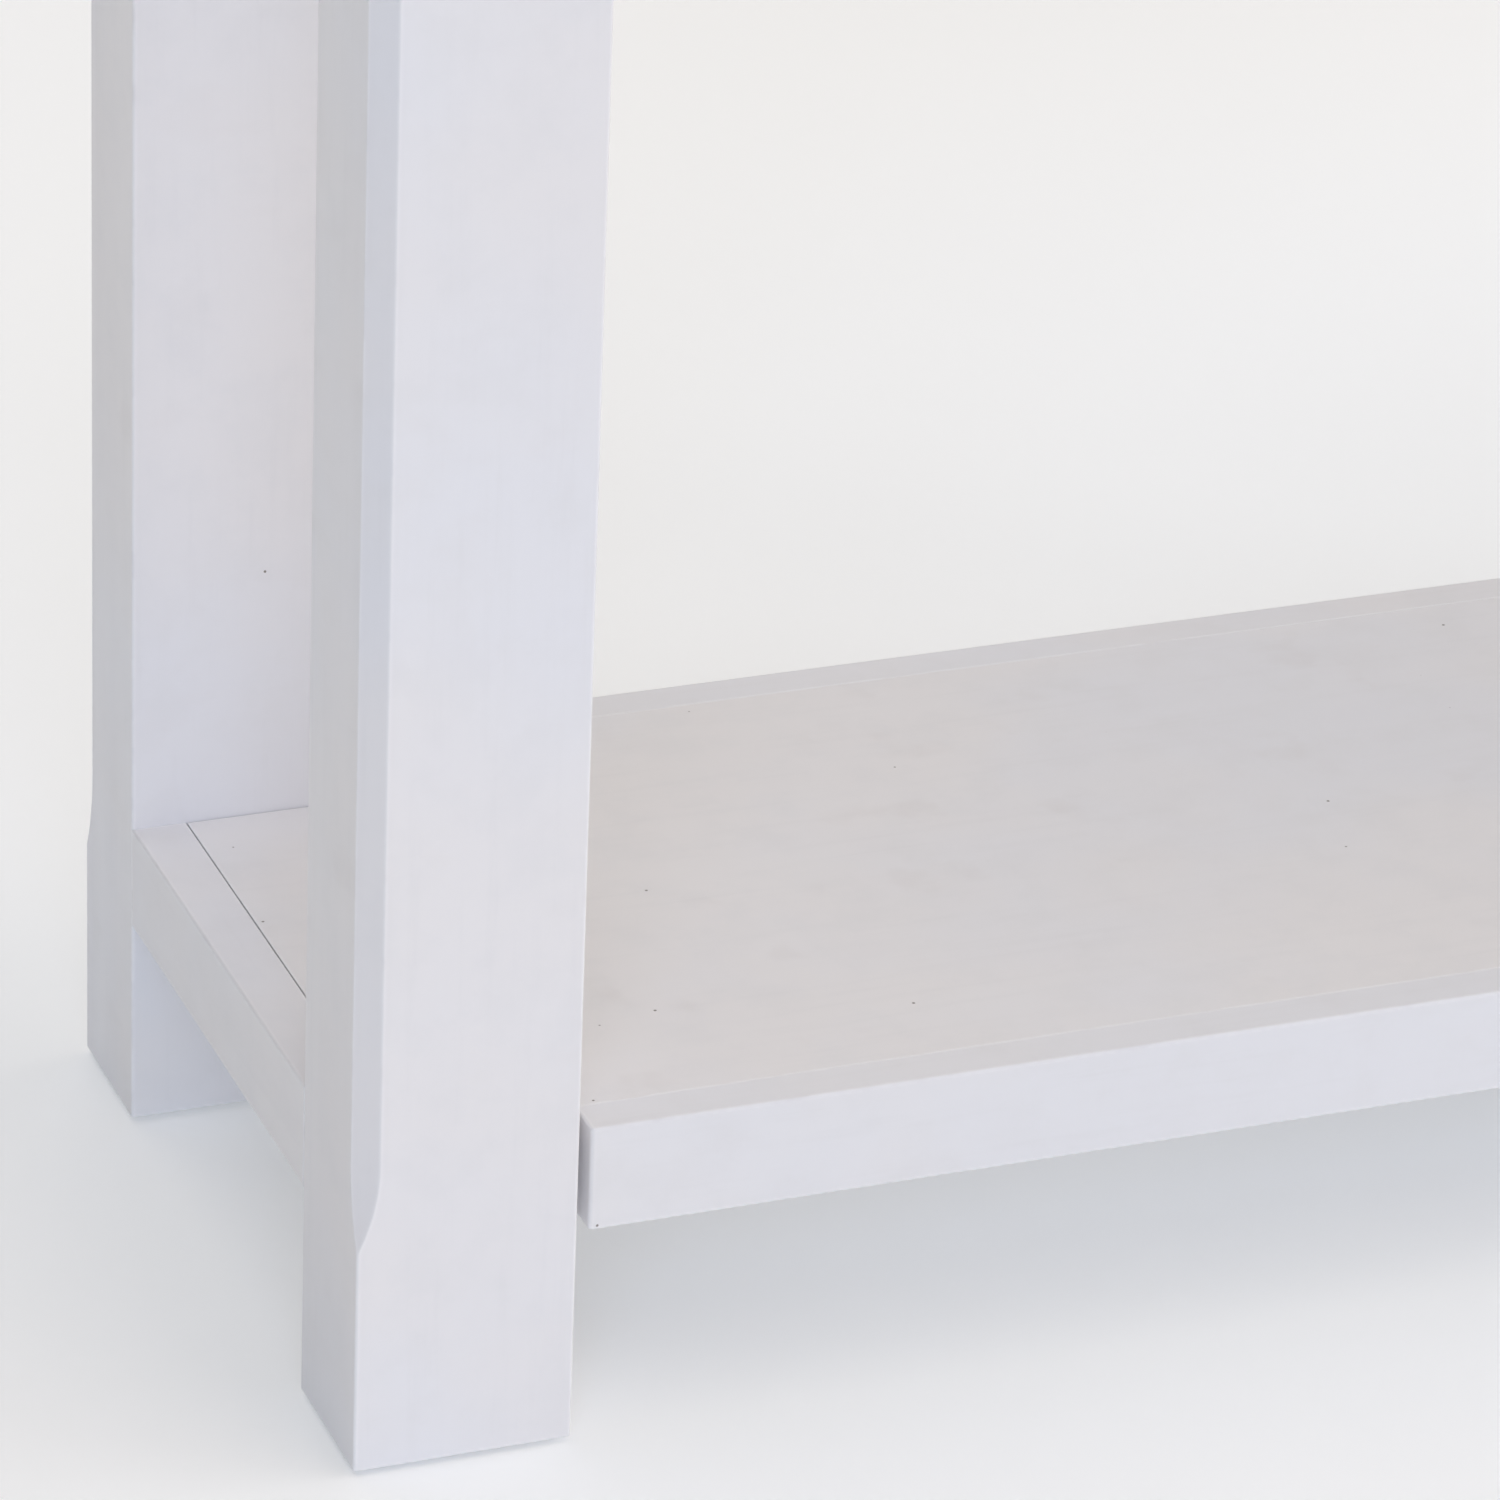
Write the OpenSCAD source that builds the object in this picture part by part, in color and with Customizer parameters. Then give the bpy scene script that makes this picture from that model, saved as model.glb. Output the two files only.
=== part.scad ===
// Console table with a low shelf. Painted boards on four stout legs, put together with
// dowels, cam fittings, screwed cleats and battens, and standing on nailed glides.
// X runs along the table, the front faces -Y, and Z is up from the floor.

/* [Overall] */
// Length of the top, left to right
table_length = 1000; // [800:10:1400]
// Depth of the top, front to back
table_depth = 300; // [250:5:450]
// Height of the top's upper face above the floor
table_height = 760; // [600:5:920]

/* [Top] */
// Thickness of the top panel
top_thickness = 22; // [16:0.1:30]
// How far the top runs past the legs on every side
top_overhang = 8; // [2:1:40]
// Radius of the top's upright corners
top_corner_radius = 3; // [1:0.5:10]

/* [Legs] */
// Width of a leg, along the table's length
leg_width = 70; // [55:0.1:90]
// Depth of a leg, front to back
leg_depth = 52; // [40:0.1:70]
// Width of the chamfer on a leg's outer edge, measured along either face
leg_chamfer = 7; // [3:0.5:12]
// Radius of the cutter that leaves the curved ends of the chamfer
cutter_radius = 90; // [30:5:150]
// How far the chamfer runs on past the edge of the rail or apron beside it
chamfer_overrun = 31; // [5:1:50]

/* [Aprons] */
// Thickness of the four boards under the top
apron_thickness = 18; // [15:0.1:25]
// Height of the four boards under the top
apron_height = 80; // [60:1:120]
// How far the front and back aprons sit behind the legs' faces
apron_setback = 1; // [0:0.5:8]

/* [Side rails] */
// Thickness of the low rail between a front and a back leg
rail_thickness = 18; // [15:0.1:25]
// Height of the low rail between a front and a back leg
rail_height = 35; // [28:0.1:60]

/* [Shelf] */
// Height of the shelf's upper face above the floor
shelf_height = 108; // [85:1:260]
// Thickness of the shelf panel
shelf_thickness = 15; // [12:0.1:22]
// Thickness of the strip along the shelf's front and back edge
edge_thickness = 15; // [10:0.1:20]
// Height of the strip along the shelf's front and back edge
edge_height = 35; // [28:0.1:60]
// Radius of the upright corners at the ends of the edge strips
edge_corner_radius = 1.5; // [1:0.5:6]
// How far the edge strips sit behind the legs' faces
edge_setback = 1; // [0:0.5:8]
// Gap between the end of the shelf's edge strips and a leg
leg_gap = 4; // [1:0.5:8]
// Gap between the shelf panel and the inward side of a leg
notch_gap = 0.4; // [0.3:0.1:4]
// Gap between the shelf panel and a side rail
rail_gap = 0.5; // [0.3:0.1:3]
// Thickness of the tongue that holds an edge strip to the panel
tongue_thickness = 5; // [3:0.5:7]
// Depth of the tongue that holds an edge strip to the panel
tongue_depth = 6; // [3:0.5:10]
// Distance that the tongue stops short of the strip's ends
tongue_end = 12; // [6:1:30]

/* [Cleats and battens] */
// Side of the square cleats that take the screws
cleat_size = 18; // [14:0.1:22]
// Gap left at each end of a cleat
cleat_end_gap = 2; // [0.5:0.5:10]
// Width of the flat battens across the middle
batten_width = 60; // [40:1:100]
// Gap left at each end of a batten
batten_end_gap = 0.5; // [0.2:0.1:3]

/* [Fasteners] */
// Diameter of the wooden dowels
dowel_diameter = 8; // [6:0.5:10]
// Length of the wooden dowels
dowel_length = 40; // [25:1:50]
// Diameter of the wood screws
screw_diameter = 3.5; // [3:0.1:4.5]
// Diameter of the countersunk screw heads
screw_head = 7; // [6:0.1:9]
// Share of a board's thickness that a screw enters
screw_bite = 0.66; // [0.4:0.01:0.75]
// Screws that hold each top cleat to its apron, one fewer than hold it to the top
top_screw_count = 4; // [2:1:8]
// Screws that hold each shelf cleat to its side rail, one fewer than hold it to the shelf
rail_screw_count = 2; // [2:1:4]
// Diameter of the round cam housings
cam_diameter = 15; // [12:0.5:20]
// Distance from the end of an apron to the middle of its cam
cam_distance = 34; // [24:1:40]
// Diameter of the cam bolt's threaded end
cam_bolt_diameter = 6; // [5:0.5:7]
// Length of the cam bolt's threaded end inside a leg
cam_bolt_bite = 11; // [8:1:20]

/* [Glides] */
// Diameter of the round glide under each leg
glide_diameter = 24; // [16:1:36]
// Height of a glide, which is the leg's clearance above the floor
glide_height = 2; // [1.5:0.1:6]
// Diameter of the nail that holds a glide
nail_diameter = 2; // [1.5:0.1:3]
// Length of the nail that holds a glide
nail_length = 20; // [12:1:30]

/* [Fits] */
// Play round a dowel, on the radius
dowel_fit = 0.1; // [0.05:0.05:0.5]
// Play past each end of a dowel
dowel_end_fit = 1; // [0.5:0.5:3]
// Play round a screw where it passes through a cleat, on the radius
screw_fit = 0.25; // [0.1:0.05:0.5]
// Play round a screw, nail or cam bolt where it bites, on the radius
bite_fit = 0.05; // [0.02:0.01:0.2]
// Play past the tip of a screw, nail or cam bolt
tip_fit = 1; // [0.5:0.5:2]
// Play round a cam and the part of its bolt inside the apron, on the radius
cam_fit = 0.2; // [0.1:0.05:0.5]
// Play on every side of the tongues
tongue_fit = 0.1; // [0.05:0.05:0.3]

/* [Hidden] */

PAINT = [0.93, 0.93, 0.95];
BEECH = [0.80, 0.66, 0.46];
STEEL = [0.72, 0.73, 0.75];
NYLON = [0.35, 0.35, 0.37];

// Facets on a full round, which are true curves in the built parts, and on the wide cutter
$fn = 48;
cutter_facets = 180;
// Cutters run this far past the face that they open.
past = 1;

// Outer faces of the legs, each from the table's middle
leg_x = table_length / 2 - top_overhang;
leg_y = table_depth / 2 - top_overhang;
// Inward faces of the legs, each from the table's middle
bay_x = leg_x - leg_width;
bay_y = leg_y - leg_depth;

top_underside = table_height - top_thickness;
apron_middle = top_underside - apron_height / 2;
rail_middle = shelf_height - rail_height / 2;
shelf_underside = shelf_height - shelf_thickness;
// Middle of the thickness of the front and side boards
apron_row = leg_y - apron_setback - apron_thickness / 2;
apron_line = leg_x - apron_thickness / 2;
rail_line = leg_x - rail_thickness / 2;

// Two dowels share a board's height evenly.
function dowel_levels(middle, height) = [middle - height / 4, middle + height / 4];

// The chamfer is this deep, measured square to its own face.
chamfer_depth = leg_chamfer / sqrt(2);
// Height over which the cutter's arc takes the chamfer from nothing to its full depth
chamfer_run = sqrt(cutter_radius ^ 2 - (cutter_radius - chamfer_depth) ^ 2);
chamfer_low = shelf_height - chamfer_overrun + chamfer_run;
chamfer_high = top_underside - apron_height + chamfer_overrun - chamfer_run;

// Ends and sides of the shelf, each from the table's middle
edge_x = bay_x - leg_gap;
edge_y = leg_y - edge_setback;
panel_x = leg_x - rail_thickness - rail_gap;
panel_y = edge_y - edge_thickness;
tongue_level = shelf_height - shelf_thickness / 2;

top_cleat_run = 2 * (bay_x - cleat_end_gap);
top_cleat_row = leg_y - apron_setback - apron_thickness - cleat_size / 2;
shelf_cleat_run = 2 * (bay_y - cleat_end_gap);
shelf_cleat_line = leg_x - rail_thickness - cleat_size / 2;
shelf_screw_count = rail_screw_count + 1;
top_batten_run = 2 * (top_cleat_row - cleat_size / 2 - batten_end_gap);
shelf_batten_run = 2 * (panel_y - batten_end_gap);
// Screws stand in two rows of two on each batten.
batten_rows = 2;

top_screw_length = cleat_size + screw_bite * top_thickness;
apron_screw_length = cleat_size + screw_bite * apron_thickness;
shelf_screw_length = cleat_size + screw_bite * shelf_thickness;
rail_screw_length = cleat_size + screw_bite * rail_thickness;
// The head's cone has sides at 45 degrees, and the point is as long as the screw is thick.
screw_cone = (screw_head - screw_diameter) / 2;
// Cross recess: its length as a share of the head, the width of an arm, and its depth
recess_share = 0.6;
recess_width = 0.9;
recess_depth = 1.6;

// The cam bolt thins to a neck that the cam's wall holds, and ends in a round head.
bolt_shaft = 5.5;
bolt_neck = 3.5;
bolt_head = 6.5;
bolt_head_length = 4;
bolt_collar = 7.6;
bolt_collar_length = 1;
bolt_hole = 8;
// Wall of the round cam housing
cam_wall = 2.6;
// A cam reaches this far past its bolt's axis.
cam_floor = 4;
cam_height = apron_thickness / 2 + cam_floor;

// A glide is this much narrower at the floor than at the leg.
glide_lip = 2;
nail_head = 5;
nail_head_height = 0.8;
// Depth of the recess in a glide's underside that the nail's head lies in
nail_recess = 1.2;

// Copies a front left corner shape to any corner.
module corner(right, back) {
    mirror([right ? 1 : 0, 0, 0])
        mirror([0, back ? 1 : 0, 0])
            children();
}

module every_corner() {
    for (right = [false, true], back = [false, true])
        corner(right, back) children();
}

// Places of count things spread evenly along a run, each from its middle.
function spread(count, run) = [for (i = [0 : count - 1]) run * ((i + 0.5) / count - 0.5)];

// A board centred on x and y, with its underside at z.
module board(x, y, z, size) {
    translate([x - size[0] / 2, y - size[1] / 2, z]) cube(size);
}

// ---- Fasteners, and the holes that they need --------------------------------------

// A dowel along Z, or the hole for it.
module dowel(fit, end_fit) {
    cylinder(d = dowel_diameter + 2 * fit, h = dowel_length + 2 * end_fit, center = true);
}

// Dowels of the front left corner's two apron ends
module apron_dowels_at_corner(fit = 0, end_fit = 0) {
    for (z = dowel_levels(apron_middle, apron_height)) {
        translate([-bay_x, -apron_row, z]) rotate([0, 90, 0]) dowel(fit, end_fit);
        translate([-apron_line, -bay_y, z]) rotate([90, 0, 0]) dowel(fit, end_fit);
    }
}

// Dowels of the front left corner's end of the side rail
module rail_dowels_at_corner(fit = 0, end_fit = 0) {
    for (z = dowel_levels(rail_middle, rail_height))
        translate([-rail_line, -bay_y, z]) rotate([90, 0, 0]) dowel(fit, end_fit);
}

// A countersunk screw whose head lies at the origin and whose point is up.
module screw(length) {
    radius = screw_diameter / 2;
    difference() {
        rotate_extrude()
            polygon([
                [0, 0], [screw_head / 2, 0], [radius, screw_cone],
                [radius, length - screw_diameter], [0, length]
            ]);
        for (turn = [0, 90])
            rotate([0, 0, turn])
                board(0, 0, -past, [
                    screw_head * recess_share, recess_width, recess_depth + past
                ]);
    }
}

// The countersink and the clearance hole through a cleat, then the hole that it bites.
module screw_hole(length, through) {
    rotate_extrude()
        polygon([
            [0, -past], [screw_head / 2 + screw_fit + past, -past],
            [screw_diameter / 2 + screw_fit, screw_cone],
            [screw_diameter / 2 + screw_fit, through], [0, through]
        ]);
    cylinder(d = screw_diameter + 2 * bite_fit, h = length + tip_fit);
}

// A cam bolt along +X from the end of a board, with its thread behind the origin.
module cam_bolt() {
    head_start = cam_distance - bolt_head_length / 2;
    neck_start = cam_distance - cam_diameter / 2 - cam_fit;
    rotate([0, 90, 0])
        rotate_extrude()
            polygon([
                [0, -cam_bolt_bite], [cam_bolt_diameter / 2, -cam_bolt_bite],
                [cam_bolt_diameter / 2, 0], [bolt_collar / 2, 0],
                [bolt_collar / 2, bolt_collar_length], [bolt_shaft / 2, bolt_collar_length],
                [bolt_shaft / 2, neck_start], [bolt_neck / 2, neck_start],
                [bolt_neck / 2, head_start], [bolt_head / 2, head_start],
                [bolt_head / 2, head_start + bolt_head_length],
                [0, head_start + bolt_head_length]
            ]);
}

// The holes for one cam bolt and its cam, with the cam opening towards +Y.
module cam_holes() {
    rotate([0, -90, 0])
        cylinder(d = cam_bolt_diameter + 2 * bite_fit, h = cam_bolt_bite + tip_fit);
    rotate([0, 90, 0]) cylinder(d = bolt_hole, h = cam_distance);
    translate([cam_distance, -cam_floor - cam_fit, 0])
        rotate([-90, 0, 0])
            cylinder(
                d = cam_diameter + 2 * cam_fit,
                h = cam_height + cam_fit + past
            );
}

// A round cam housing that holds the bolt's head, with a cross recess on its open face.
module cam_lock() {
    difference() {
        translate([cam_distance, -cam_floor, 0])
            rotate([-90, 0, 0]) cylinder(d = cam_diameter, h = cam_height);
        rotate([0, 90, 0]) cylinder(d = bolt_neck + 2 * cam_fit, h = cam_distance);
        translate([cam_distance - cam_diameter / 2 + cam_wall, 0, 0])
            rotate([0, 90, 0])
                cylinder(d = bolt_head + 2 * cam_fit, h = cam_diameter - 2 * cam_wall);
        for (turn = [0, 90])
            translate([cam_distance, cam_height - cam_floor, 0])
                rotate([90, turn, 0])
                    board(0, 0, -past, [
                        cam_diameter * recess_share, 2 * recess_width, recess_depth + past
                    ]);
    }
}

// Puts a cam fitting at the left end of the front apron.
module at_cam() {
    translate([-bay_x, -apron_row, apron_middle]) children();
}

// A nail's shank, from the bottom of the glide's recess up into the leg
module nail(fit = 0, end_fit = 0) {
    translate([0, 0, nail_recess])
        cylinder(d = nail_diameter + 2 * fit, h = nail_length + end_fit);
}

// Puts a glide under the middle of the front left leg.
module at_glide() {
    translate([-leg_x + leg_width / 2, -leg_y + leg_depth / 2, 0]) children();
}

// ---- Where the screws stand -------------------------------------------------------

module at_top_screws() {
    for (side = [-1, 1], x = spread(top_screw_count + 1, top_cleat_run))
        translate([x, side * top_cleat_row, top_underside - cleat_size]) children();
    for (x = spread(batten_rows, batten_width), y = spread(batten_rows, top_batten_run))
        translate([x, y, top_underside - cleat_size]) children();
}

module at_apron_screws() {
    for (side = [-1, 1], x = spread(top_screw_count, top_cleat_run))
        translate([x, side * (top_cleat_row - cleat_size / 2), top_underside - cleat_size / 2])
            rotate([-90 * side, 0, 0])
                children();
}

module at_shelf_screws() {
    for (side = [-1, 1], y = spread(shelf_screw_count, shelf_cleat_run))
        translate([side * shelf_cleat_line, y, shelf_underside - cleat_size]) children();
    for (x = spread(batten_rows, batten_width), y = spread(batten_rows, shelf_batten_run))
        translate([x, y, shelf_underside - cleat_size]) children();
}

module at_rail_screws() {
    for (side = [-1, 1], y = spread(rail_screw_count, shelf_cleat_run))
        translate([
            side * (shelf_cleat_line - cleat_size / 2), y, shelf_underside - cleat_size / 2
        ])
            rotate([0, 90 * side, 0])
                children();
}

// ---- Boards -----------------------------------------------------------------------

module top_panel() {
    color(PAINT) difference() {
        translate([0, 0, top_underside])
            linear_extrude(top_thickness)
                rounded_plan(table_length, table_depth, top_corner_radius);
        at_top_screws() screw_hole(top_screw_length, cleat_size);
    }
}

// A rectangle in plan, with rounded corners
module rounded_plan(length, depth, radius) {
    square([length - 2 * radius, depth], center = true);
    square([length, depth - 2 * radius], center = true);
    for (x = [-1, 1], y = [-1, 1])
        translate([x * (length / 2 - radius), y * (depth / 2 - radius)]) circle(radius);
}

// The cutter's path along the front left leg's outer edge: straight, with an arc at each end.
module chamfer_cutter() {
    width = 2 * leg_chamfer;
    translate([-leg_x, -leg_y, 0])
        rotate([0, 0, 45]) {
            translate([chamfer_depth - leg_chamfer, -width / 2, chamfer_low])
                cube([leg_chamfer, width, chamfer_high - chamfer_low]);
            for (z = [chamfer_low, chamfer_high])
                translate([chamfer_depth - cutter_radius, 0, z])
                    rotate([90, 0, 0])
                        cylinder(r = cutter_radius, h = width, center = true, $fn = cutter_facets);
        }
}

module leg(right, back) {
    color(PAINT) corner(right, back) difference() {
        translate([-leg_x, -leg_y, glide_height])
            cube([leg_width, leg_depth, top_underside - glide_height]);
        chamfer_cutter();
        apron_dowels_at_corner(dowel_fit, dowel_end_fit);
        rail_dowels_at_corner(dowel_fit, dowel_end_fit);
        at_cam() cam_holes();
        at_glide() nail(bite_fit, tip_fit);
    }
}

// Front or back apron
module long_apron(back) {
    color(PAINT) difference() {
        corner(false, back)
            board(0, -apron_row, top_underside - apron_height, [
                2 * bay_x, apron_thickness, apron_height
            ]);
        for (right = [false, true])
            corner(right, back) {
                apron_dowels_at_corner(dowel_fit, dowel_end_fit);
                at_cam() cam_holes();
            }
        at_apron_screws() screw_hole(apron_screw_length, cleat_size);
    }
}

// Left or right apron
module side_apron(right) {
    color(PAINT) difference() {
        corner(right, false)
            board(-apron_line, 0, top_underside - apron_height, [
                apron_thickness, 2 * bay_y, apron_height
            ]);
        for (back = [false, true])
            corner(right, back) apron_dowels_at_corner(dowel_fit, dowel_end_fit);
    }
}

module side_rail(right) {
    color(PAINT) difference() {
        corner(right, false)
            board(-rail_line, 0, shelf_height - rail_height, [
                rail_thickness, 2 * bay_y, rail_height
            ]);
        for (back = [false, true])
            corner(right, back) rail_dowels_at_corner(dowel_fit, dowel_end_fit);
        at_rail_screws() screw_hole(rail_screw_length, cleat_size);
    }
}

// The panel reaches the side rails between the legs, and is notched round each leg.
module shelf_panel() {
    color(PAINT) difference() {
        board(0, 0, shelf_underside, [2 * panel_x, 2 * panel_y, shelf_thickness]);
        every_corner()
            translate([-panel_x - past, -panel_y - past, shelf_underside - past])
                cube([
                    panel_x - edge_x + past,
                    panel_y - bay_y + notch_gap + past,
                    shelf_thickness + 2 * past
                ]);
        for (back = [false, true])
            corner(false, back) shelf_tongue(tongue_fit);
        at_shelf_screws() screw_hole(shelf_screw_length, cleat_size);
    }
}

// The front edge strip's tongue. Its root lies just inside the strip.
module shelf_tongue(fit = 0) {
    board(0, -panel_y + (tongue_depth + fit - past) / 2, tongue_level - tongue_thickness / 2 - fit, [
        2 * (edge_x - tongue_end + fit),
        tongue_depth + fit + past,
        tongue_thickness + 2 * fit
    ]);
}

// Front or back edge strip, whose two outward upright corners are rounded
module shelf_edge(back) {
    color(PAINT) corner(false, back) {
        translate([0, 0, shelf_height - edge_height])
            linear_extrude(edge_height)
                difference() {
                    translate([0, -edge_y + edge_thickness])
                        rounded_plan(2 * edge_x, 2 * edge_thickness, edge_corner_radius);
                    translate([-edge_x - past, -panel_y])
                        square([2 * (edge_x + past), edge_thickness + past]);
                }
        shelf_tongue();
    }
}

module shelf_cleat(right) {
    color(PAINT) difference() {
        corner(right, false)
            board(-shelf_cleat_line, 0, shelf_underside - cleat_size, [
                cleat_size, shelf_cleat_run, cleat_size
            ]);
        at_shelf_screws() screw_hole(shelf_screw_length, cleat_size);
        at_rail_screws() screw_hole(rail_screw_length, cleat_size);
    }
}

module shelf_batten() {
    color(PAINT) difference() {
        board(0, 0, shelf_underside - cleat_size, [
            batten_width, shelf_batten_run, cleat_size
        ]);
        at_shelf_screws() screw_hole(shelf_screw_length, cleat_size);
    }
}

module top_cleat(back) {
    color(PAINT) difference() {
        corner(false, back)
            board(0, -top_cleat_row, top_underside - cleat_size, [
                top_cleat_run, cleat_size, cleat_size
            ]);
        at_top_screws() screw_hole(top_screw_length, cleat_size);
        at_apron_screws() screw_hole(apron_screw_length, cleat_size);
    }
}

module top_batten() {
    color(PAINT) difference() {
        board(0, 0, top_underside - cleat_size, [
            batten_width, top_batten_run, cleat_size
        ]);
        at_top_screws() screw_hole(top_screw_length, cleat_size);
    }
}

// ---- Fasteners and glides in place ------------------------------------------------

module apron_dowels() {
    color(BEECH) every_corner() apron_dowels_at_corner();
}

module rail_dowels() {
    color(BEECH) every_corner() rail_dowels_at_corner();
}

module cam_bolts() {
    color(STEEL) every_corner() at_cam() cam_bolt();
}

module cam_locks() {
    color(STEEL) every_corner() at_cam() cam_lock();
}

module top_screws() {
    color(STEEL) at_top_screws() screw(top_screw_length);
}

module apron_screws() {
    color(STEEL) at_apron_screws() screw(apron_screw_length);
}

module shelf_screws() {
    color(STEEL) at_shelf_screws() screw(shelf_screw_length);
}

module rail_screws() {
    color(STEEL) at_rail_screws() screw(rail_screw_length);
}

// A flat ring that tapers down to the floor, with a recess for the nail's head
module foot_glides() {
    color(NYLON) every_corner() at_glide() difference() {
        cylinder(
            d1 = glide_diameter - glide_lip,
            d2 = glide_diameter,
            h = glide_height
        );
        translate([0, 0, -past])
            cylinder(d = nail_head + 2 * tip_fit, h = nail_recess + past);
        nail(bite_fit);
    }
}

module glide_nails() {
    color(STEEL) every_corner() at_glide() {
        nail();
        translate([0, 0, nail_recess - nail_head_height])
            cylinder(d = nail_head, h = nail_head_height);
    }
}

top_panel();
leg(false, false);  // leg_front_left
leg(true, false);  // leg_front_right
leg(false, true);  // leg_back_left
leg(true, true);  // leg_back_right
long_apron(false);  // apron_front
long_apron(true);  // apron_back
side_apron(false);  // apron_left
side_apron(true);  // apron_right
side_rail(false);  // side_rail_left
side_rail(true);  // side_rail_right
shelf_panel();
shelf_edge(false);  // shelf_front_edge
shelf_edge(true);  // shelf_back_edge
shelf_cleat(false);  // shelf_cleat_left
shelf_cleat(true);  // shelf_cleat_right
shelf_batten();
top_cleat(false);  // top_cleat_front
top_cleat(true);  // top_cleat_back
top_batten();
apron_dowels();
rail_dowels();
cam_bolts();
cam_locks();
top_screws();
apron_screws();
shelf_screws();
rail_screws();
foot_glides();
glide_nails();
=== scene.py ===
"""White painted console table with a low shelf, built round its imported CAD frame.

The top, legs, side rails and shelf are remade here with eased edges. The other CAD nodes keep
their own meshes under modifiers. Every surface gets a procedural material. Lengths are in metres.
"""

import math

import bmesh
import bpy
from mathutils import Euler, Matrix, Vector


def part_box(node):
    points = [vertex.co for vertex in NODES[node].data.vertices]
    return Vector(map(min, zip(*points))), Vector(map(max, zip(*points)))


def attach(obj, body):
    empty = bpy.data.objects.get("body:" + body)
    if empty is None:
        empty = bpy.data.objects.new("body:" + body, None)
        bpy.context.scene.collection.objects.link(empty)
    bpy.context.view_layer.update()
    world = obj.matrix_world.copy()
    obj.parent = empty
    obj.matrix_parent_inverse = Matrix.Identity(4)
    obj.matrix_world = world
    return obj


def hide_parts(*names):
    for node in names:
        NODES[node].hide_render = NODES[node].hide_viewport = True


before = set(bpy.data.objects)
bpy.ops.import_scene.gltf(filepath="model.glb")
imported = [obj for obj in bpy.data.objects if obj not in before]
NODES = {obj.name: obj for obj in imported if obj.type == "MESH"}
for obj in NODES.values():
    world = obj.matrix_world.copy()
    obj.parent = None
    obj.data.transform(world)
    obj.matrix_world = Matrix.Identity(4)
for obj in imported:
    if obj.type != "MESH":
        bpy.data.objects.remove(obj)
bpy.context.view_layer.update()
MM = 0.001

# ---- Sizes that the boxes don't hold, as the CAD has them ---------------------------

LEG_CHAMFER = 7 * MM
CUTTER_RADIUS = 90 * MM
CHAMFER_OVERRUN = 31 * MM
NOTCH_GAP = 0.4 * MM
TOP_CORNER = 3 * MM
EDGE_CORNER = 1.5 * MM

# Radii of the sanded edges
LEG_EASE = 1.0 * MM
END_EASE = 0.8 * MM
BOARD_EASE = 0.9 * MM
SEAM_EASE = 0.18 * MM
TOP_EASE = 2.0 * MM
INNER_EASE = 0.5 * MM
DOWEL_EASE = 0.5 * MM
GLIDE_EASE = 0.25 * MM
CAM_EASE = 0.15 * MM
SCREW_EASE = 0.08 * MM

# How finely round stretches are divided
CORNER_STEPS = 6
EASE_STEPS = 4
CUTTER_STEPS = 28

# Points closer than this are one, and an edge sharper than this is a real one
ONE_POINT = 1e-6
REAL_EDGE = math.radians(35)
FLAT_ENOUGH = math.radians(0.5)

# A face looks along an axis when its normal has more than this along it
LOOKS_ALONG = 0.9

# ---- Paint --------------------------------------------------------------------------

# Colours are linear
PAINT_TINT = (0.860, 0.855, 0.875)
# The shelf's copy of the same paint, warmer and a little lighter: painted warm light from above on
# the shelf and its edge strips
SHELF_LIT_TINT = (0.875, 0.863, 0.870)
SMUDGE_COLOUR = (0.70, 0.655, 0.63, 1)
NIB_COLOUR = (0.13, 0.10, 0.08, 1)
# A lighter white painted along the arrises as a highlight
ARRIS_HIGHLIGHT_COLOUR = (0.97, 0.97, 0.98, 1)
ARRIS_REACH = 1.6 * MM
PAINT_RELIEF = 0.06 * MM

# ---- What hardly shows --------------------------------------------------------------

PLATED_ZINC = (0.68, 0.69, 0.71)
CAST_ZINC = (0.50, 0.51, 0.53)
ZINC_RELIEF = 0.03 * MM
BEECH_PALE = (0.60, 0.40, 0.23, 1)
BEECH_BROWN = (0.47, 0.29, 0.16, 1)
BEECH_FLECK = (0.24, 0.13, 0.07, 1)
BEECH_RELIEF = 0.1 * MM
NYLON_GREY = (0.20, 0.20, 0.21, 1)
NYLON_SCUFF = (0.34, 0.34, 0.35, 1)
NYLON_RELIEF = 0.05 * MM

# ---- Studio -------------------------------------------------------------------------

# Half the floor's width, so far that its end meets the backdrop at the horizon
FLOOR_REACH = 150
FLOOR_DARK = (0.92, 0.93, 0.945, 1)
FLOOR_LIGHT = (0.94, 0.95, 0.965, 1)
FLOOR_RELIEF = 0.05 * MM
FLOOR_GLOW = 0.15
GLOW_COLOUR = (0.98, 1, 0.97, 1)
SKY_LIGHT = 0.03
BACKDROP = (0.863, 0.857, 0.853, 1)
# Each soft light: azimuth (0 is straight in front, 90 is the table's right), elevation and
# width across in degrees, then strength and colour
SOFTBOXES = {
    "overhead": (0, 90, 90, 1.39, (1, 0.94, 0.88)),
    "front_left": (-21, 24, 30, 0.80, (0.61, 0.75, 1)),
    "front_right": (35, 22, 50, 0.57, (1, 0.88, 0.80)),
    "right": (80, 24, 50, 0.86, (1, 1, 1)),
    "back": (180, 25, 60, 0.55, (1, 0.98, 0.96)),
}

# ---- Camera -------------------------------------------------------------------------

# Where the camera stands, counted from the outer front corner of the front left leg's foot
CAMERA_FROM_FOOT = Vector((-0.636, -1.878, 1.215))
HEADING = math.radians(21.92)
LOOK_DOWN = math.radians(26.02)
ROLL = math.radians(2.33)
LENS_MM = 183.4
SENSOR_MM = 36
SEES_FROM = 0.05
SEES_TO = 60


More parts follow.
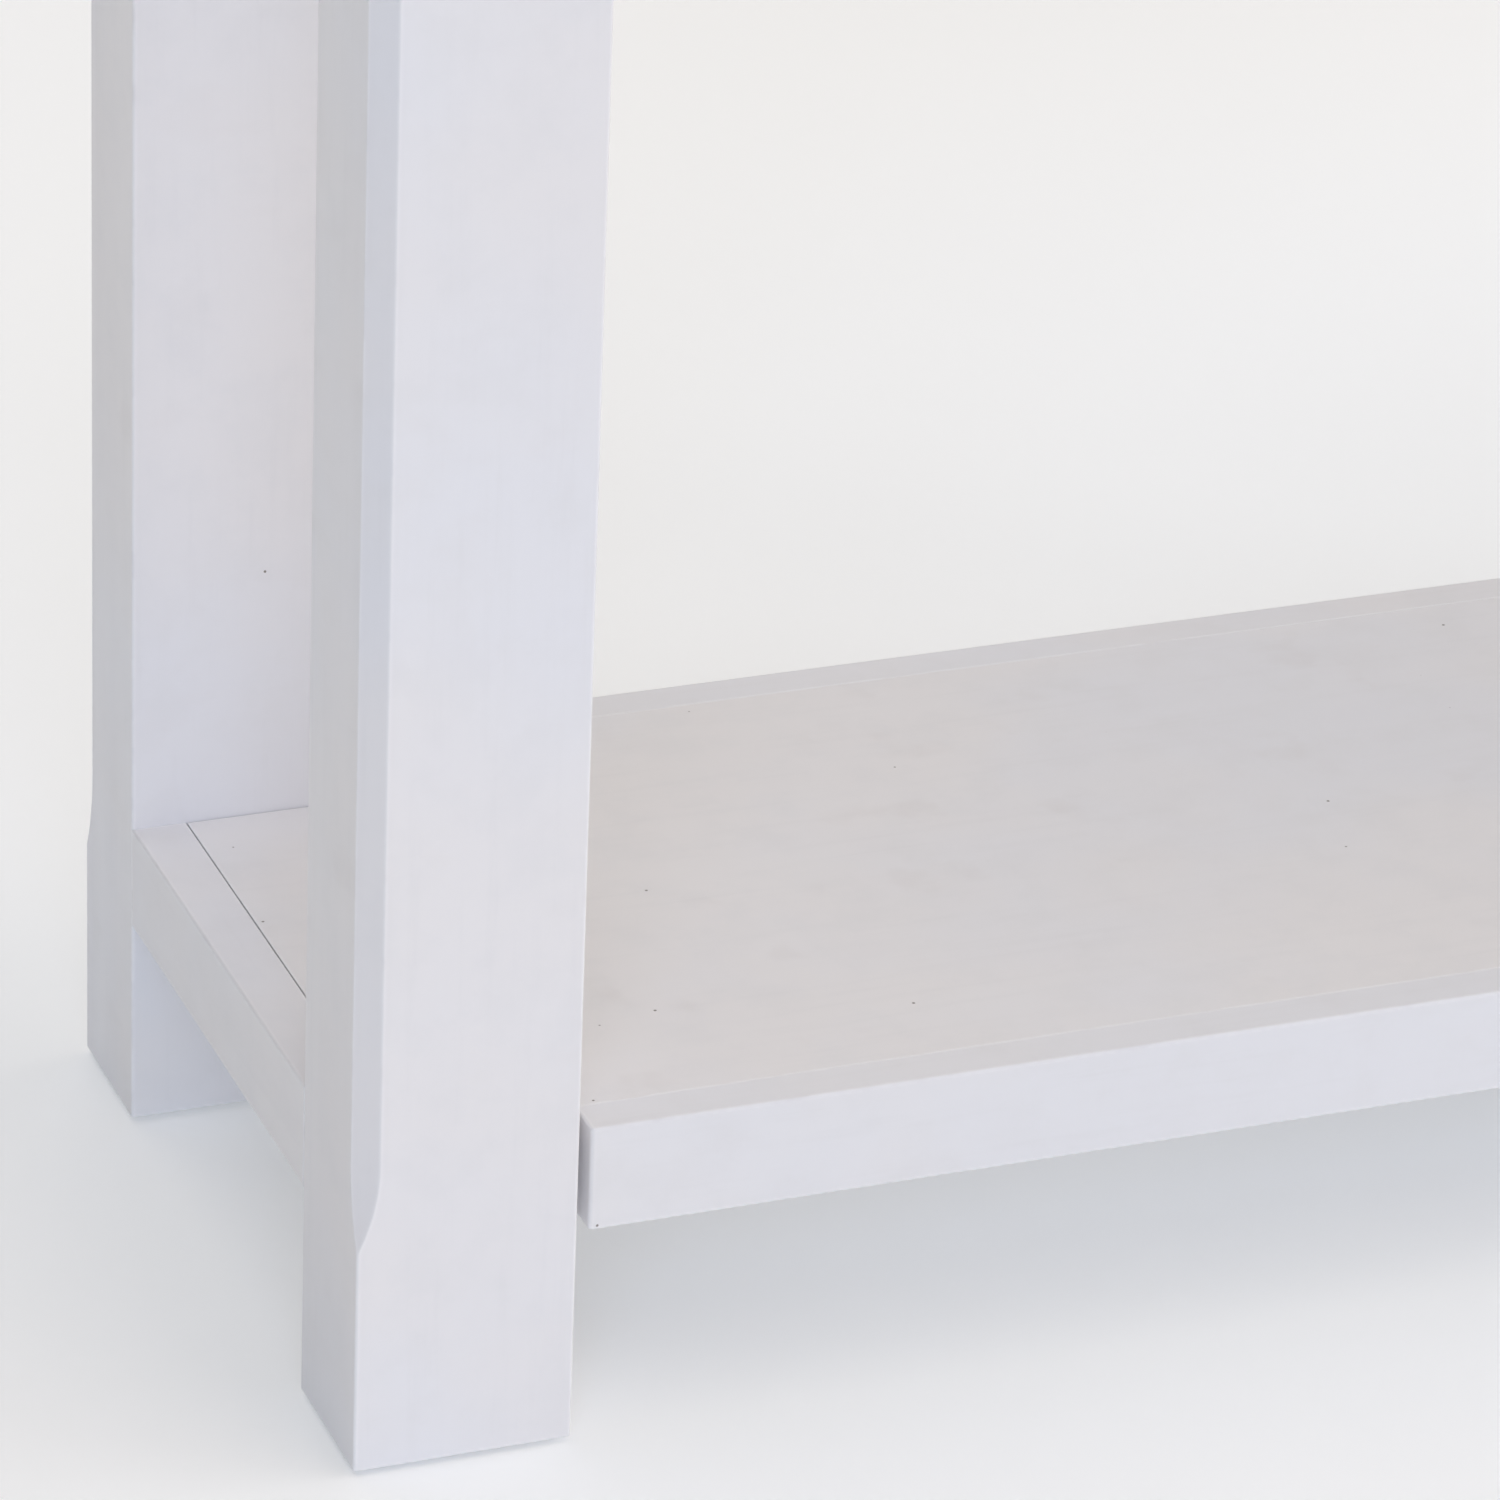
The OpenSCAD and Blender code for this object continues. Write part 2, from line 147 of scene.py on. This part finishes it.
def add_camera():
    """A long lens that looks down at the table's lower left corner, turned a little."""
    data = bpy.data.cameras.new("camera")
    data.sensor_width = SENSOR_MM
    data.lens = LENS_MM
    data.clip_start = SEES_FROM
    data.clip_end = SEES_TO
    camera = bpy.data.objects.new("camera", data)
    bpy.context.scene.collection.objects.link(camera)
    aim = Euler((math.pi / 2 - LOOK_DOWN, 0, -HEADING), "XYZ").to_matrix()
    camera.matrix_world = Matrix.Translation(
        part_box("leg_front_left")[0] + CAMERA_FROM_FOOT
    ) @ (aim @ Matrix.Rotation(ROLL, 3, "Z")).to_4x4()
    bpy.context.scene.camera = camera


# ---- Node trees ---------------------------------------------------------------------


class Tree:
    """A small helper that adds shader nodes and joins them."""

    def __init__(self, owner):
        owner.use_nodes = True
        self.tree = owner.node_tree
        self.tree.nodes.clear()

    def add(self, kind, settings=None, **inputs):
        """Adds a node. An input is a value, or another node's output socket."""
        node = self.tree.nodes.new(kind)
        for key, value in (settings or {}).items():
            setattr(node, key, value)
        for key, value in inputs.items():
            socket = node.inputs[key.replace("_", " ")]
            if isinstance(value, bpy.types.NodeSocket):
                self.tree.links.new(value, socket)
            else:
                socket.default_value = value
        return node

    def maths(self, operation, a, b=0.0, c=0.0):
        """One sum. Each number is a value or a socket."""
        node = self.add("ShaderNodeMath", {"operation": operation})
        for socket, value in zip(node.inputs, (a, b, c)):
            if isinstance(value, bpy.types.NodeSocket):
                self.tree.links.new(value, socket)
            else:
                socket.default_value = value
        return node.outputs[0]

    def mix(self, factor, a, b):
        """Mixes two colours."""
        node = self.add("ShaderNodeMix", {"data_type": "RGBA", "blend_type": "MIX"})
        for index, value in ((0, factor), (6, a), (7, b)):
            if isinstance(value, bpy.types.NodeSocket):
                self.tree.links.new(value, node.inputs[index])
            else:
                node.inputs[index].default_value = value
        return node.outputs[2]

    def stretch(self, value, low, high, to_low=0.0, to_high=1.0):
        """Maps low..high to to_low..to_high, and holds it there."""
        node = self.add("ShaderNodeMapRange", {"clamp": True, "interpolation_type": "SMOOTHSTEP"},
                        Value=value, From_Min=low, From_Max=high, To_Min=to_low, To_Max=to_high)
        return node.outputs[0]

    def noise(self, place, scale, detail=3.0, roughness=0.5):
        """Soft noise from 0 to 1, with about scale lumps to the metre."""
        return self.add("ShaderNodeTexNoise", Vector=place, Scale=scale, Detail=detail,
                        Roughness=roughness).outputs[0]

    def place(self, offset=(0, 0, 0), scale=(1, 1, 1)):
        """Object coordinates, moved and stretched."""
        coordinates = self.add("ShaderNodeTexCoord").outputs["Object"]
        return self.add("ShaderNodeMapping", Vector=coordinates, Location=offset,
                        Scale=scale).outputs[0]


def white_paint(name, run, seed, nib_share, handling, tint=PAINT_TINT):
    """Satin white paint on smooth board.

    run is the axis that the board lies along: 0, 1 or 2. nib_share is the share of the cells
    that may hold a speck, and handling is how strongly the smudges show.
    """
    material = bpy.data.materials.new(name)
    tree = Tree(material)
    shift = (seed * 1.7, seed * 2.3, seed * 0.9)
    along = [1.0, 1.0, 1.0]
    along[run] = 0.05
    plain = tree.place(shift)
    brushed = tree.place(shift, along)

    # Broad cooler and warmer patches, a fine mottle, and long faint streaks
    hue = tree.stretch(tree.noise(plain, 6, 3), 0.35, 0.65)
    cool = [channel * factor for channel, factor in zip(tint, (0.985, 0.995, 1.015))]
    warm = [channel * factor for channel, factor in zip(tint, (1.015, 1.0, 0.985))]
    white = tree.mix(hue, (*cool, 1), (*warm, 1))
    mottle = tree.stretch(tree.noise(plain, 45, 4, 0.6), 0.42, 0.72, 0, 0.30)
    white = tree.mix(mottle, white, (*[0.93 * channel for channel in tint], 1))
    streaks = tree.noise(brushed, 220, 4, 0.65)
    white = tree.mix(tree.stretch(streaks, 0.50, 0.80, 0, 0.18), white,
                     (*[0.88 * channel for channel in tint], 1))

    # Handling marks: rare soft smudges that are a little darker and duller
    marks = tree.noise(tree.place((seed, 7, 3), (1, 1, 1.6)), 24, 3, 0.55)
    smudge = tree.stretch(marks, 0.60, 0.72)
    white = tree.mix(tree.maths("MULTIPLY", smudge, handling), white, SMUDGE_COLOUR)

    # Nibs: specks of dust caught in the paint, where cell centres come near the surface
    cells = tree.add("ShaderNodeTexVoronoi", {"feature": "F1"}, Vector=plain, Scale=60.0)
    lot = tree.add("ShaderNodeSeparateColor", Color=cells.outputs["Color"]).outputs[0]
    chosen = tree.maths("LESS_THAN", lot, nib_share)
    ragged = tree.maths("ADD", cells.outputs["Distance"],
                        tree.maths("MULTIPLY", tree.noise(plain, 1100, 2), 0.016))
    nib = tree.maths("MULTIPLY", tree.stretch(ragged, 0.030, 0.046, 1, 0), chosen)
    white = tree.mix(tree.maths("MULTIPLY", nib, 0.85), white, NIB_COLOUR)

    # Arrises: a painted highlight, lighter white along the edges in places, where the paint is
    # also rubbed smoother and less rough
    bevel = tree.add("ShaderNodeBevel", {"samples": 4}, Radius=ARRIS_REACH)
    facing = tree.add("ShaderNodeVectorMath", {"operation": "DOT_PRODUCT"})
    tree.tree.links.new(bevel.outputs[0], facing.inputs[0])
    tree.tree.links.new(tree.add("ShaderNodeNewGeometry").outputs["Normal"], facing.inputs[1])
    edge = tree.stretch(facing.outputs["Value"], 0.998, 0.95)
    rub_and_highlight = tree.maths("MULTIPLY", edge, tree.stretch(tree.noise(plain, 70, 3), 0.30, 0.50))
    # Painted highlight: the arrises are mixed towards a lighter white
    white = tree.mix(tree.maths("MULTIPLY", rub_and_highlight, 0.75), white, ARRIS_HIGHLIGHT_COLOUR)

    roughness = tree.stretch(tree.noise(brushed, 70, 3), 0.3, 0.7, 0.33, 0.43)
    roughness = tree.maths("ADD", roughness, tree.maths("MULTIPLY", smudge, 0.10))
    roughness = tree.maths("SUBTRACT", roughness, tree.maths("MULTIPLY", rub_and_highlight, 0.08))

    # Orange peel, grain under the paint and nibs, all within hundredths of a millimetre
    height = tree.maths("MULTIPLY", tree.noise(plain, 380, 2), 0.5)
    height = tree.maths("MULTIPLY_ADD", streaks, 0.7, height)
    height = tree.maths("MULTIPLY_ADD", nib, 2.0, height)
    bump = tree.add("ShaderNodeBump", Height=height, Strength=0.5, Distance=PAINT_RELIEF)
    shader = tree.add("ShaderNodeBsdfPrincipled", Base_Color=white, Roughness=roughness,
                      Normal=bump.outputs[0])
    shader.inputs["Specular IOR Level"].default_value = 0.5
    tree.add("ShaderNodeOutputMaterial", Surface=shader.outputs[0])
    return material


def zinc(name, colour, grain, rough):
    """Plated or cast zinc: a grey metal with fine grain and duller patches.

    grain is the grain's noise scale, and rough is the roughness of the brightest patches.
    """
    material = bpy.data.materials.new(name)
    tree = Tree(material)
    place = tree.place()
    patches = tree.noise(place, 300, 3)
    fine = tree.noise(place, grain, 3)
    dull = tuple(0.72 * c for c in colour)
    tint = tree.mix(tree.stretch(patches, 0.35, 0.7), (*colour, 1), (*dull, 1))
    roughness = tree.stretch(patches, 0.3, 0.7, rough, rough + 0.18)
    bump = tree.add("ShaderNodeBump", Height=fine, Strength=0.4, Distance=ZINC_RELIEF)
    shader = tree.add("ShaderNodeBsdfPrincipled", Base_Color=tint, Roughness=roughness,
                      Metallic=1.0, Normal=bump.outputs[0])
    tree.add("ShaderNodeOutputMaterial", Surface=shader.outputs[0])
    return material


def beech(name):
    """Raw beech, with grain along the dowel and short dark flecks."""
    material = bpy.data.materials.new(name)
    tree = Tree(material)
    grain = tree.noise(tree.place((0, 0, 0), (0.15, 0.15, 1)), 700, 4, 0.6)
    flecks = tree.noise(tree.place((3, 1, 2), (0.3, 0.3, 1)), 1500, 2)
    wood = tree.mix(tree.stretch(grain, 0.35, 0.7), BEECH_PALE, BEECH_BROWN)
    wood = tree.mix(tree.stretch(flecks, 0.62, 0.72, 0, 0.7), wood, BEECH_FLECK)
    bump = tree.add("ShaderNodeBump", Height=grain, Strength=0.5, Distance=BEECH_RELIEF)
    shader = tree.add("ShaderNodeBsdfPrincipled", Base_Color=wood,
                      Roughness=tree.stretch(grain, 0.3, 0.7, 0.55, 0.75),
                      Normal=bump.outputs[0])
    tree.add("ShaderNodeOutputMaterial", Surface=shader.outputs[0])
    return material


def nylon(name):
    """Grey moulded nylon with a fine spark texture and scuffs."""
    material = bpy.data.materials.new(name)
    tree = Tree(material)
    place = tree.place()
    scuffs = tree.noise(tree.place((0, 0, 0), (1, 0.2, 1)), 500, 4, 0.7)
    tint = tree.mix(tree.stretch(scuffs, 0.5, 0.75), NYLON_GREY, NYLON_SCUFF)
    bump = tree.add("ShaderNodeBump", Height=tree.noise(place, 2500, 2), Strength=0.4,
                    Distance=NYLON_RELIEF)
    shader = tree.add("ShaderNodeBsdfPrincipled", Base_Color=tint,
                      Roughness=tree.stretch(scuffs, 0.3, 0.7, 0.42, 0.6),
                      Normal=bump.outputs[0])
    tree.add("ShaderNodeOutputMaterial", Surface=shader.outputs[0])
    return material


# ---- Meshes -------------------------------------------------------------------------


def arc(centre, radius, start, turn, steps=CORNER_STEPS):
    """Points of an arc, both ends included. Angles are in degrees."""
    angles = [math.radians(start + turn * i / steps) for i in range(steps + 1)]
    return [(centre[0] + radius * math.cos(a), centre[1] + radius * math.sin(a)) for a in angles]


def rounded_outline(low, high, radius):
    """A rectangle with rounded corners, anticlockwise."""
    (x0, y0), (x1, y1), r = low, high, radius
    return [
        *arc((x0 + r, y0 + r), r, 180, 90),
        *arc((x1 - r, y0 + r), r, 270, 90),
        *arc((x1 - r, y1 - r), r, 0, 90),
        *arc((x0 + r, y1 - r), r, 90, 90),
    ]


def show_piece(name, mesh, material, *replaced):
    """Links a mesh as a piece that rides with the table and stands for CAD nodes."""
    piece = bpy.data.objects.new(name, mesh)
    bpy.context.scene.collection.objects.link(piece)
    mesh.materials.append(material)
    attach(piece, "root")
    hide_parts(*replaced)
    return piece


def to_mesh(name, work):
    """Turns a bmesh into a smooth shaded mesh whose sharp edges stay sharp."""
    bmesh.ops.remove_doubles(work, verts=work.verts, dist=ONE_POINT)
    bmesh.ops.recalc_face_normals(work, faces=work.faces)
    mesh = bpy.data.meshes.new(name)
    work.to_mesh(mesh)
    work.free()
    mesh.shade_smooth()
    mesh.set_sharp_from_angle(angle=REAL_EDGE)
    return mesh


def loft(rings):
    """Skins equal rings of points and caps both ends."""
    work = bmesh.new()
    rows = [[work.verts.new(p) for p in ring] for ring in rings]
    for lower, upper in zip(rows, rows[1:]):
        for i in range(len(lower)):
            j = (i + 1) % len(lower)
            work.faces.new((lower[i], lower[j], upper[j], upper[i]))
    work.faces.new(rows[0][::-1])
    work.faces.new(rows[-1])
    return work


def weigh_normals(piece):
    """Keeps large flat faces flat beside their rounded edges."""
    modifier = piece.modifiers.new("flat_faces", "WEIGHTED_NORMAL")
    modifier.keep_sharp = True
    modifier.weight = 80


def leg_ring(size, chamfer, inset):
    """A leg's section, with its chamfered corner at the origin. Every ring has as many points."""
    least = LEG_EASE * (2 - math.sqrt(2))
    cut = max(chamfer, least)
    tangent = LEG_EASE * math.tan(math.radians(22.5))
    radius = LEG_EASE - inset
    near, far = LEG_EASE, (size[0] - LEG_EASE, size[1] - LEG_EASE)
    return [
        *arc((near, cut + tangent), radius, 180, 45, EASE_STEPS),
        *arc((cut + tangent, near), radius, 225, 45, EASE_STEPS),
        *arc((far[0], near), radius, 270, 90),
        *arc(far, radius, 0, 90),
        *arc((near, far[1]), radius, 90, 90),
    ]


def leg_levels(low, high):
    """(height, chamfer, inset) up a leg, with each chamfer end following the cutter's arc."""
    depth = LEG_CHAMFER / math.sqrt(2)
    run = math.sqrt(CUTTER_RADIUS**2 - (CUTTER_RADIUS - depth) ** 2)
    shelf_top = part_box("shelf_panel")[1].z
    apron_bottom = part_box("apron_front")[0].z
    full_low = shelf_top - CHAMFER_OVERRUN + run
    full_high = apron_bottom + CHAMFER_OVERRUN - run

    def chamfer(distance):
        fall = CUTTER_RADIUS - math.sqrt(CUTTER_RADIUS**2 - distance**2)
        return max(0, depth - fall) * math.sqrt(2)

    rounding = [math.radians(90 * i / EASE_STEPS) for i in range(EASE_STEPS + 1)]
    levels = [(low + END_EASE * (1 - math.cos(a)), 0, END_EASE * (1 - math.sin(a)))
              for a in rounding]
    distances = [run * (1 - i / CUTTER_STEPS) for i in range(CUTTER_STEPS + 1)]
    levels += [(full_low - d, chamfer(d), 0) for d in distances]
    levels += [(full_high + d, chamfer(d), 0) for d in reversed(distances)]
    levels += [(high - END_EASE * (1 - math.cos(a)), 0, END_EASE * (1 - math.sin(a)))
               for a in reversed(rounding)]
    return levels


def make_leg(node, material):
    """A leg whose outer edge carries the stopped chamfer."""
    low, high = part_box(node)
    size = high - low
    outer = Vector((low.x if low.x < 0 else high.x, low.y if low.y < 0 else high.y))
    way = Vector((1 if low.x < 0 else -1, 1 if low.y < 0 else -1))
    rings = [
        [(outer.x + way.x * x, outer.y + way.y * y, z) for x, y in leg_ring(size, chamfer, inset)]
        for z, chamfer, inset in leg_levels(low.z, high.z)
    ]
    name = node.replace("leg", "painted_leg")
    weigh_normals(show_piece(name, to_mesh(name, loft(rings)), material, node))


def make_board(name, outline, low, high, material, replaced, is_seam=None, ease=BOARD_EASE):
    """An upright prism with eased edges, which are finer round the faces that meet a neighbour."""
    work = loft([[(x, y, z) for x, y in outline] for z in (low, high)])
    bmesh.ops.recalc_face_normals(work, faces=work.faces)
    weights = work.edges.layers.float.new("bevel_weight_edge")
    for edge in work.edges:
        if edge.calc_face_angle(0) > REAL_EDGE:
            seam = is_seam and any(is_seam(face.normal) for face in edge.link_faces)
            edge[weights] = SEAM_EASE / ease if seam else 1
    piece = show_piece(name, to_mesh(name, work), material, replaced)
    modifier = piece.modifiers.new("eased_edges", "BEVEL")
    modifier.limit_method = "WEIGHT"
    modifier.width = ease
    modifier.segments = EASE_STEPS
    modifier.use_clamp_overlap = False
    modifier.harden_normals = True


def rectangle(low, high):
    """A box's four corners seen from above, anticlockwise."""
    return [(low.x, low.y), (high.x, low.y), (high.x, high.y), (low.x, high.y)]


def make_side_rail(node, material):
    """A low rail, sanded on its long edges and crisp where it meets legs and shelf."""
    low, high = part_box(node)
    inward = 1 if low.x < 0 else -1

    def is_seam(normal):
        return abs(normal.y) > LOOKS_ALONG or normal.x * inward > LOOKS_ALONG

    make_board(node.replace("side_rail", "painted_side_rail"), rectangle(low, high), low.z,
               high.z, material, node, is_seam)


def make_shelf_panel(material):
    """The panel, notched round the four legs."""
    low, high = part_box("shelf_panel")
    edge_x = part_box("shelf_front_edge")[1].x
    notch_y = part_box("leg_back_left")[0].y - NOTCH_GAP
    outline = [
        (low.x, -notch_y), (-edge_x, -notch_y), (-edge_x, low.y), (edge_x, low.y),
        (edge_x, -notch_y), (high.x, -notch_y), (high.x, notch_y), (edge_x, notch_y),
        (edge_x, high.y), (-edge_x, high.y), (-edge_x, notch_y), (low.x, notch_y),
    ]
    make_board("painted_shelf_panel", outline, low.z, high.z, material, "shelf_panel",
               lambda normal: abs(normal.z) < LOOKS_ALONG, INNER_EASE)


def make_shelf_edge(node, material):
    """An edge strip, with rounded upright corners on its outward side."""
    low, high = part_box(node)
    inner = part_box("shelf_panel")[1].y
    outer = max(-low.y, high.y)
    outward = -1 if low.y < 0 else 1
    r = EDGE_CORNER
    outline = [(low.x, inner), (high.x, inner), *arc((high.x - r, outer - r), r, 0, 90),
               *arc((low.x + r, outer - r), r, 90, 90)]
    if outward < 0:
        outline = [(x, -y) for x, y in reversed(outline)]
    make_board(node.replace("shelf", "painted_shelf"), outline, low.z, high.z, material, node,
               lambda normal: normal.y * outward < -LOOKS_ALONG)


def make_top(material):
    """The top panel, with a soft edge all round."""
    low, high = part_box("top_panel")
    outline = rounded_outline(low.xy, high.xy, TOP_CORNER)
    make_board("painted_top", outline, low.z, high.z, material, "top_panel", ease=TOP_EASE)


def keep_node(node, material, ease):
    """Shows a CAD node with its own mesh, its edges eased by modifiers."""
    piece = NODES[node]
    piece.data.materials.clear()
    piece.data.materials.append(material)
    piece.modifiers.new("one_skin", "WELD").merge_threshold = ONE_POINT
    flat = piece.modifiers.new("whole_faces", "DECIMATE")
    flat.decimate_type = "DISSOLVE"
    flat.angle_limit = FLAT_ENOUGH
    bevel = piece.modifiers.new("eased_edges", "BEVEL")
    bevel.limit_method = "ANGLE"
    bevel.angle_limit = REAL_EDGE
    bevel.width = ease
    bevel.segments = 3
    bevel.use_clamp_overlap = False
    bevel.harden_normals = True


# ---- Room and light -----------------------------------------------------------------


def add_floor():
    """A wide pale floor that glows a little, like a lit sweep under a product."""
    work = bmesh.new()
    bmesh.ops.create_grid(work, x_segments=8, y_segments=8, size=FLOOR_REACH)
    floor = bpy.data.objects.new("floor", to_mesh("floor", work))
    bpy.context.scene.collection.objects.link(floor)
    material = bpy.data.materials.new("studio_floor")
    tree = Tree(material)
    mottle = tree.noise(tree.place(), 3, 3)
    tint = tree.mix(mottle, FLOOR_DARK, FLOOR_LIGHT)
    bump = tree.add("ShaderNodeBump", Height=tree.noise(tree.place(), 400, 2), Strength=0.2,
                    Distance=FLOOR_RELIEF)
    shader = tree.add("ShaderNodeBsdfPrincipled", Base_Color=tint, Roughness=0.9,
                      Normal=bump.outputs[0])
    shader.inputs["Specular IOR Level"].default_value = 0.2
    shader.inputs["Emission Color"].default_value = GLOW_COLOUR
    shader.inputs["Emission Strength"].default_value = FLOOR_GLOW
    tree.add("ShaderNodeOutputMaterial", Surface=shader.outputs[0])
    floor.data.materials.append(material)


def add_far_softbox(name, azimuth, elevation, spread, strength, colour):
    """A soft light so far away that it's even over the whole floor. Angles in degrees."""
    data = bpy.data.lights.new(name, "SUN")
    data.energy = strength
    data.angle = math.radians(spread)
    data.color = colour
    light = bpy.data.objects.new(name, data)
    bpy.context.scene.collection.objects.link(light)
    side, up = math.radians(azimuth), math.radians(elevation)
    towards = Vector((math.sin(side) * math.cos(up), -math.cos(side) * math.cos(up),
                      math.sin(up)))
    light.rotation_mode = "QUATERNION"
    light.rotation_quaternion = towards.to_track_quat("Z", "Y")


def add_sky():
    """Faint even light from all round, and a pale backdrop where the floor ends."""
    world = bpy.data.worlds.new("studio")
    bpy.context.scene.world = world
    tree = Tree(world)
    light = tree.add("ShaderNodeBackground", Color=(1, 1, 1, 1), Strength=SKY_LIGHT)
    seen = tree.add("ShaderNodeBackground", Color=BACKDROP, Strength=1.0)
    choice = tree.add("ShaderNodeMixShader")
    camera_ray = tree.add("ShaderNodeLightPath").outputs["Is Camera Ray"]
    tree.tree.links.new(camera_ray, choice.inputs[0])
    tree.tree.links.new(light.outputs[0], choice.inputs[1])
    tree.tree.links.new(seen.outputs[0], choice.inputs[2])
    tree.add("ShaderNodeOutputWorld", Surface=choice.outputs[0])


def light_studio():
    """Five soft lights, the sky, and plain colours without a film look."""
    for name, settings in SOFTBOXES.items():
        add_far_softbox(name, *settings)
    add_sky()
    bpy.context.scene.view_settings.view_transform = "Standard"
    bpy.context.scene.view_settings.look = "None"


# ---- The table ----------------------------------------------------------------------


def build_table():
    """Paints and remakes the boards that show, and gives every other node its material."""
    up_leg = white_paint("paint_on_legs", 2, 1, 0.14, 0.05)
    along_table = white_paint("paint_on_long_boards", 0, 2, 0.12, 0.05)
    across_table = white_paint("paint_on_short_boards", 1, 3, 0.12, 0.05)
    # The shelf and its edge strips take the warmer, lighter tint, which is painted warm light
    on_shelf = white_paint("paint_on_shelf", 0, 4, 0.9, 0.14, SHELF_LIT_TINT)
    on_edges = white_paint("paint_on_shelf_edges", 0, 5, 0.12, 0.05, SHELF_LIT_TINT)
    for node in ("leg_front_left", "leg_front_right", "leg_back_left", "leg_back_right"):
        make_leg(node, up_leg)
    for node in ("side_rail_left", "side_rail_right"):
        make_side_rail(node, across_table)
    make_shelf_panel(on_shelf)
    for node in ("shelf_front_edge", "shelf_back_edge"):
        make_shelf_edge(node, on_edges)
    make_top(along_table)
    for node in ("apron_front", "apron_back", "top_cleat_front", "top_cleat_back"):
        keep_node(node, along_table, INNER_EASE)
    for node in ("apron_left", "apron_right", "shelf_cleat_left", "shelf_cleat_right",
                 "shelf_batten", "top_batten"):
        keep_node(node, across_table, INNER_EASE)
    plated = zinc("bright_zinc_plate", PLATED_ZINC, 2600, 0.24)
    cast = zinc("cast_zinc", CAST_ZINC, 1400, 0.42)
    for node in ("top_screws", "apron_screws", "shelf_screws", "rail_screws", "cam_bolts",
                 "glide_nails"):
        keep_node(node, plated, SCREW_EASE)
    keep_node("cam_locks", cast, CAM_EASE)
    raw = beech("raw_beech")
    for node in ("apron_dowels", "rail_dowels"):
        keep_node(node, raw, DOWEL_EASE)
    keep_node("foot_glides", nylon("moulded_nylon"), GLIDE_EASE)


add_camera()
build_table()
add_floor()
light_studio()
bpy.context.view_layer.update()
